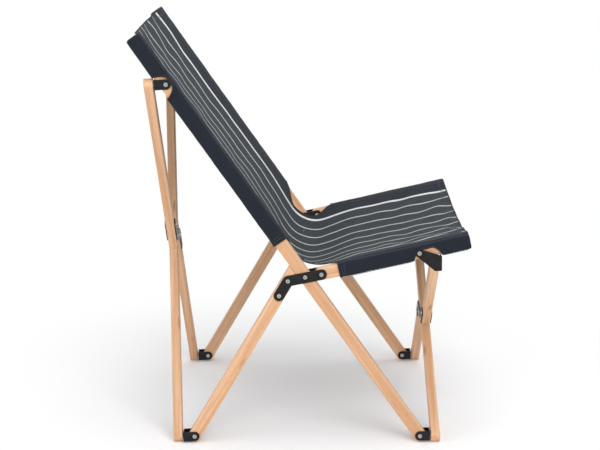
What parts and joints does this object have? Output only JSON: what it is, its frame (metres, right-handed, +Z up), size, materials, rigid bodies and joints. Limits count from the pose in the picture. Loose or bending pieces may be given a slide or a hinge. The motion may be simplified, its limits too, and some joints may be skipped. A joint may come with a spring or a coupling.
{
  "type": "folding camp chair",
  "caption": "Low folding camp chair: timber side frames and crossed leg frames on black steel pivots, with a striped fabric sling; the whole frame closes into a bundle.",
  "frame": {"origin": "centre of the bounding box, on the floor under the open chair", "axes": "+Z up, the sitter faces -Y, the sitter's right side is -X"},
  "size_m": [0.583, 0.7458, 0.927],
  "materials": {
    "beech": "oiled beech laths, satin",
    "black_steel": "satin black powder coat",
    "rivet_steel": "bright tubular rivets",
    "sleeve_cloth": "plain dark navy woven band",
    "sling_cloth": "slate woven cloth with light lengthwise stripes"
  },
  "bodies": {
    "right_pole": {"right_pole": "beech", "right_back_sleeve": "sleeve_cloth", "back_sling": "sling_cloth"},
    "right_rear_leg": {"right_rear_leg": "beech", "right_outer_plate": "black_steel", "right_inner_plate": "black_steel", "right_leg_rivets": "rivet_steel", "right_main_rivet": "rivet_steel", "right_seat_rivet": "rivet_steel"},
    "right_seat_rail": {"right_seat_rail": "beech", "right_seat_sleeve": "sleeve_cloth", "seat_sling": "sling_cloth"},
    "right_rear_foot_bracket": {"right_rear_foot_bracket": "black_steel", "right_rear_foot_rivet": "rivet_steel"},
    "right_front_foot_bracket": {"right_front_foot_bracket": "black_steel", "right_front_foot_rivet": "rivet_steel"},
    "right_rear_top_bracket": {"right_rear_top_bracket": "black_steel", "right_rear_top_rivet": "rivet_steel"},
    "right_front_top_bracket": {"right_front_top_bracket": "black_steel", "right_front_top_rivet": "rivet_steel"},
    "left_pole": {"left_pole": "beech", "left_back_sleeve": "sleeve_cloth"},
    "left_rear_leg": {"left_rear_leg": "beech", "left_outer_plate": "black_steel", "left_inner_plate": "black_steel", "left_leg_rivets": "rivet_steel", "left_main_rivet": "rivet_steel", "left_seat_rivet": "rivet_steel"},
    "left_seat_rail": {"left_seat_rail": "beech", "left_seat_sleeve": "sleeve_cloth", "left_front_top_cap": "rivet_steel"},
    "left_rear_foot_bracket": {"left_rear_foot_bracket": "black_steel", "left_rear_foot_rivet": "rivet_steel"},
    "left_front_foot_bracket": {"left_front_foot_bracket": "black_steel", "left_front_foot_rivet": "rivet_steel"},
    "left_rear_top_bracket": {"left_rear_top_bracket": "black_steel", "left_rear_top_rivet": "rivet_steel"},
    "left_front_top_bracket": {"left_front_top_bracket": "black_steel", "left_front_top_rivet": "rivet_steel"},
    "rear_long_bar": {"rear_long_bar": "beech", "rear_long_end_rivets": "rivet_steel"},
    "rear_half_bars": {"rear_upper_half_bar": "beech", "rear_lower_half_bar": "beech", "rear_cross_plate_fore": "black_steel", "rear_cross_plate_aft": "black_steel", "rear_cross_rivets": "rivet_steel", "rear_centre_rivet": "rivet_steel", "rear_half_end_rivets": "rivet_steel"},
    "front_long_bar": {"front_long_bar": "beech", "front_long_end_rivets": "rivet_steel"},
    "front_half_bars": {"front_upper_half_bar": "beech", "front_lower_half_bar": "beech", "front_cross_plate_fore": "black_steel", "front_cross_plate_aft": "black_steel", "front_cross_rivets": "rivet_steel", "front_centre_rivet": "rivet_steel", "front_half_end_rivets": "rivet_steel"}
  },
  "joints": [
    {"name": "fold", "type": "hinge", "parent": "right_pole", "child": "right_rear_leg", "pos_m": [-0.274, -0.0069, 0.39026], "axis": [1, 0, 0], "range_deg": [-56, 0], "deforming": ["back_sling", "seat_sling"]},
    {"name": "right_seat_pivot", "type": "hinge", "parent": "right_rear_leg", "child": "right_seat_rail", "pos_m": [-0.274, -0.0428, 0.39627], "axis": [1, 0, 0], "range_deg": [-45.24, 0]},
    {"name": "right_rear_foot_pivot", "type": "hinge", "parent": "right_rear_leg", "child": "right_rear_foot_bracket", "pos_m": [-0.274, 0.24308, 0.015], "axis": [1, 0, 0], "range_deg": [0, 30.86]},
    {"name": "right_front_foot_pivot", "type": "hinge", "parent": "right_pole", "child": "right_front_foot_bracket", "pos_m": [-0.274, -0.26772, 0.015], "axis": [1, 0, 0], "range_deg": [-27.87, 0]},
    {"name": "right_rear_top_pivot", "type": "hinge", "parent": "right_pole", "child": "right_rear_top_bracket", "pos_m": [-0.274, 0.29044, 0.81808], "axis": [1, 0, 0], "range_deg": [-26.14, 0]},
    {"name": "right_front_top_pivot", "type": "hinge", "parent": "right_seat_rail", "child": "right_front_top_bracket", "pos_m": [-0.274, -0.25774, 0.4455], "axis": [1, 0, 0], "range_deg": [0, 73.87]},
    {"name": "rear_half_bar_swivel", "type": "hinge", "parent": "right_rear_top_bracket", "child": "rear_half_bars", "pos_m": [-0.274, 0.32788, 0.81588], "axis": [0, -0.9983, 0.0589], "range_deg": [-27.79, 0]},
    {"name": "rear_centre_pivot", "type": "hinge", "parent": "rear_half_bars", "child": "rear_long_bar", "pos_m": [0, 0.30419, 0.41433], "axis": [0, -0.9983, 0.0589], "range_deg": [0, 55.07]},
    {"name": "left_rear_foot_swivel", "type": "hinge", "parent": "rear_half_bars", "child": "left_rear_foot_bracket", "pos_m": [0.274, 0.28051, 0.01279], "axis": [0, -0.9983, 0.0589], "range_deg": [0, 27.79]},
    {"name": "left_rear_foot_pivot", "type": "hinge", "parent": "left_rear_foot_bracket", "child": "left_rear_leg", "pos_m": [0.274, 0.24308, 0.015], "axis": [1, 0, 0], "range_deg": [-30.86, 0]},
    {"name": "left_main_pivot", "type": "hinge", "parent": "left_rear_leg", "child": "left_pole", "pos_m": [0.274, -0.0069, 0.39026], "axis": [1, 0, 0], "range_deg": [0, 56.5]},
    {"name": "left_seat_pivot", "type": "hinge", "parent": "left_rear_leg", "child": "left_seat_rail", "pos_m": [0.274, -0.0428, 0.39627], "axis": [1, 0, 0], "range_deg": [-45.24, 0]},
    {"name": "left_rear_top_pivot", "type": "hinge", "parent": "left_pole", "child": "left_rear_top_bracket", "pos_m": [0.274, 0.29044, 0.81808], "axis": [1, 0, 0], "range_deg": [-26.14, 0]},
    {"name": "left_front_foot_pivot", "type": "hinge", "parent": "left_pole", "child": "left_front_foot_bracket", "pos_m": [0.274, -0.26772, 0.015], "axis": [1, 0, 0], "range_deg": [-27.87, 0]},
    {"name": "front_half_bar_swivel", "type": "hinge", "parent": "right_front_top_bracket", "child": "front_half_bars", "pos_m": [-0.274, -0.29327, 0.42282], "axis": [0, -0.9997, 0.0232], "range_deg": [-43.92, 0]},
    {"name": "front_centre_pivot", "type": "hinge", "parent": "front_half_bars", "child": "front_long_bar", "pos_m": [0, -0.29799, 0.21931], "axis": [0, -0.9997, 0.0232], "range_deg": [0, 87.33]},
    {"name": "left_front_top_swivel", "type": "hinge", "parent": "front_long_bar", "child": "left_front_top_bracket", "pos_m": [0.274, -0.29327, 0.42282], "axis": [0, -0.9997, 0.0232], "range_deg": [-43.92, 0]}
  ],
  "couplings": [
    {"joint": "right_seat_pivot", "follows": "fold", "ratio": 0.79899},
    {"joint": "right_rear_foot_pivot", "follows": "fold", "ratio": -0.54211},
    {"joint": "right_front_foot_pivot", "follows": "fold", "ratio": 0.48876},
    {"joint": "right_rear_top_pivot", "follows": "fold", "ratio": 0.45789},
    {"joint": "right_front_top_pivot", "follows": "fold", "ratio": -1.3102},
    {"joint": "rear_half_bar_swivel", "follows": "fold", "ratio": 0.48723},
    {"joint": "rear_centre_pivot", "follows": "fold", "ratio": -0.97447},
    {"joint": "left_rear_foot_swivel", "follows": "fold", "ratio": -0.48723},
    {"joint": "left_rear_foot_pivot", "follows": "fold", "ratio": 0.54211},
    {"joint": "left_main_pivot", "follows": "fold", "ratio": -1},
    {"joint": "left_seat_pivot", "follows": "fold", "ratio": 0.79899},
    {"joint": "left_rear_top_pivot", "follows": "fold", "ratio": 0.45789},
    {"joint": "left_front_foot_pivot", "follows": "fold", "ratio": 0.48876},
    {"joint": "front_half_bar_swivel", "follows": "fold", "ratio": 0.7753},
    {"joint": "front_centre_pivot", "follows": "fold", "ratio": -1.5506},
    {"joint": "left_front_top_swivel", "follows": "fold", "ratio": 0.7753}
  ]
}
